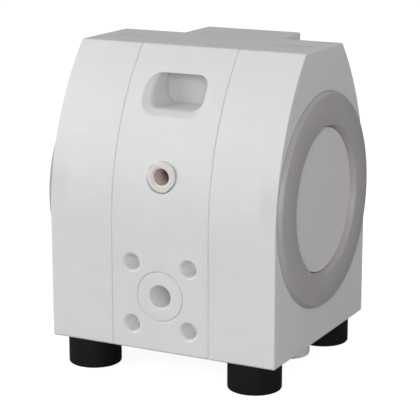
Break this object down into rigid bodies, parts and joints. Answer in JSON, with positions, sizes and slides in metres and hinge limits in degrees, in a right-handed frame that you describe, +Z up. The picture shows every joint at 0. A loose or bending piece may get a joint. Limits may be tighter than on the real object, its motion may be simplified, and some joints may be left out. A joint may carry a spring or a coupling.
{
  "type": "air operated diaphragm pump",
  "caption": "Compact block-style air operated diaphragm pump with barrel-shaped front and rear, flanged ports, ring covers on its sides, a hand pocket and rubber feet.",
  "frame": {"origin": "on the floor, under the middle of the pump", "axes": "+Z up, -Y towards the suction port and air inlet, +Y towards the discharge port, X along the diaphragm rod"},
  "size_m": [0.191, 0.163, 0.238],
  "materials": {
    "housing_plastic": "satin machined polyethylene",
    "cover_plastic": "satin moulded plastic, warm grey",
    "disc_plastic": "satin moulded plastic",
    "plug_plastic": "satin turned plastic",
    "port_plastic": "satin turned plastic",
    "collar_plastic": "satin moulded plastic",
    "valve_plastic": "turned engineering plastic",
    "bush_plastic": "filled bearing plastic",
    "muffler_plastic": "porous sintered plastic",
    "ring_steel": "turned stainless steel",
    "fastener_steel": "stainless fasteners",
    "rod_steel": "ground stainless steel",
    "insert_brass": "turned brass",
    "insert_bronze": "tapped bronze-coloured insert",
    "diaphragm_rubber": "elastomer faced with white fluoroplastic",
    "ball_rubber": "moulded elastomer",
    "seal_rubber": "moulded elastomer",
    "foot_rubber": "matt black moulded rubber"
  },
  "bodies": {
    "pump_body": {"air_inlet_adapter": "collar_plastic", "air_inlet_insert": "insert_bronze", "air_valve_end_caps": "valve_plastic", "air_valve_o_rings": "seal_rubber", "air_valve_sleeve": "valve_plastic", "center_housing": "housing_plastic", "channel_o_rings": "seal_rubber", "clamp_nuts": "fastener_steel", "clamp_studs": "fastener_steel", "clamp_washers": "fastener_steel", "discharge_port_sleeve": "port_plastic", "discharge_valve_cages": "port_plastic", "discharge_valve_seats": "port_plastic", "exhaust_adapter": "collar_plastic", "exhaust_muffler": "muffler_plastic", "foot_screws": "fastener_steel", "foot_thread_inserts": "insert_brass", "foot_washers": "fastener_steel", "front_left_foot": "foot_rubber", "front_right_foot": "foot_rubber", "housing_dowels": "housing_plastic", "left_bottom_plug": "plug_plastic", "left_clamp_ring": "ring_steel", "left_cover_disc": "disc_plastic", "left_diaphragm": "diaphragm_rubber", "left_ring_cover": "cover_plastic", "left_side_housing": "housing_plastic", "left_top_plug": "plug_plastic", "plug_o_rings": "seal_rubber", "port_sleeve_o_rings": "seal_rubber", "rear_left_foot": "foot_rubber", "rear_right_foot": "foot_rubber", "right_bottom_plug": "plug_plastic", "right_clamp_ring": "ring_steel", "right_cover_disc": "disc_plastic", "right_diaphragm": "diaphragm_rubber", "right_ring_cover": "cover_plastic", "right_side_housing": "housing_plastic", "right_top_plug": "plug_plastic", "rod_bushes": "bush_plastic", "rod_seals": "seal_rubber", "suction_port_sleeve": "port_plastic", "suction_valve_cages": "port_plastic", "suction_valve_seats": "port_plastic"},
    "shaft": {"diaphragm_rod": "rod_steel", "left_diaphragm_core": "port_plastic", "right_diaphragm_core": "port_plastic"},
    "left_suction_ball_body": {"left_suction_ball": "ball_rubber"},
    "right_suction_ball_body": {"right_suction_ball": "ball_rubber"},
    "left_discharge_ball_body": {"left_discharge_ball": "ball_rubber"},
    "right_discharge_ball_body": {"right_discharge_ball": "ball_rubber"},
    "main_piston_body": {"main_piston": "bush_plastic"},
    "pilot_piston_body": {"pilot_piston": "rod_steel"}
  },
  "joints": [
    {"name": "shaft_stroke", "type": "slide", "parent": "pump_body", "child": "shaft", "axis": [1, 0, 0], "range_m": [-0.005, 0.005], "deforming": ["left_diaphragm", "right_diaphragm"]},
    {"name": "left_suction_ball_lift", "type": "slide", "parent": "pump_body", "child": "left_suction_ball_body", "axis": [0, 0, 1], "range_m": [0, 0.004]},
    {"name": "right_suction_ball_lift", "type": "slide", "parent": "pump_body", "child": "right_suction_ball_body", "axis": [0, 0, 1], "range_m": [0, 0.004]},
    {"name": "left_discharge_ball_lift", "type": "slide", "parent": "pump_body", "child": "left_discharge_ball_body", "axis": [0, 0, 1], "range_m": [0, 0.004]},
    {"name": "right_discharge_ball_lift", "type": "slide", "parent": "pump_body", "child": "right_discharge_ball_body", "axis": [0, 0, 1], "range_m": [0, 0.004]},
    {"name": "main_piston_shift", "type": "slide", "parent": "pump_body", "child": "main_piston_body", "axis": [1, 0, 0], "range_m": [-0.003, 0.003]},
    {"name": "pilot_piston_shift", "type": "slide", "parent": "pump_body", "child": "pilot_piston_body", "axis": [1, 0, 0], "range_m": [-0.002, 0.002]}
  ]
}
